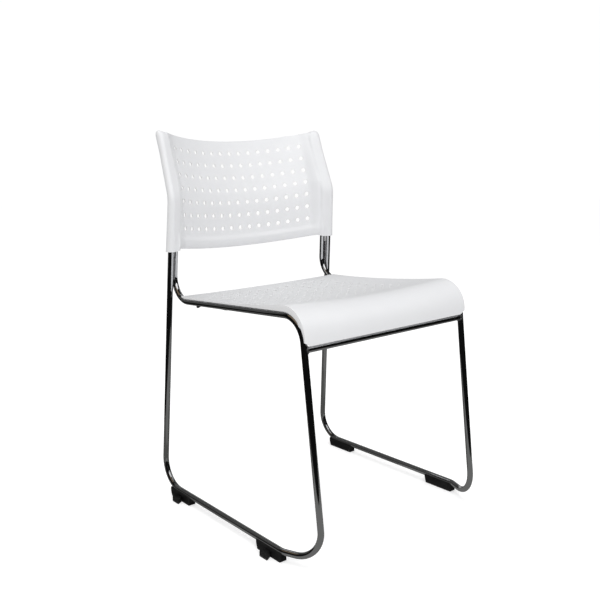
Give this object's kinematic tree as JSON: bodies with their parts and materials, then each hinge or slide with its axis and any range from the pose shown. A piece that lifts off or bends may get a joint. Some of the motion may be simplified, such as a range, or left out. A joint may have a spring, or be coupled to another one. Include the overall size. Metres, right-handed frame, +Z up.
{
  "type": "stacking chair",
  "caption": "Stacking chair with a bent rod sled frame, a perforated seat shell with a rolled front edge and a perforated curved back shell in sleeves on the uprights.",
  "frame": {"origin": "on the floor under the middle of the chair's bounding box, midway between the left and right sides", "axes": "+Z up, the front of the seat faces -Y, and +X is on the right when the chair is seen from its front"},
  "size_m": [0.5054, 0.5523, 0.7619],
  "materials": {
    "chrome_rod": "bright chrome plate on solid round steel rod, a little dark and soft in its reflections",
    "chrome_weld": "plated over the weld, rippled and duller than the rod",
    "white_shell": "white injection-moulded polypropylene with a fine satin grain",
    "black_glide": "black moulded nylon, dull and scuffed underneath",
    "zinc_fastener": "zinc-plated steel"
  },
  "bodies": {
    "root": {"left_side_rod": "chrome_rod", "right_side_rod": "chrome_rod", "front_cross_bar": "chrome_rod", "rear_cross_bar": "chrome_rod", "left_upright_weld": "chrome_weld", "right_upright_weld": "chrome_weld", "front_bar_welds": "chrome_weld", "rear_bar_welds": "chrome_weld", "rear_left_seat_tab": "chrome_rod", "rear_right_seat_tab": "chrome_rod", "front_left_seat_tab": "chrome_rod", "front_right_seat_tab": "chrome_rod", "seat_shell": "white_shell", "back_shell": "white_shell", "rear_left_glide": "black_glide", "rear_right_glide": "black_glide", "front_left_glide": "black_glide", "front_right_glide": "black_glide", "glide_pins": "zinc_fastener", "seat_screws": "zinc_fastener", "back_screws": "zinc_fastener"}
  },
  "joints": []
}
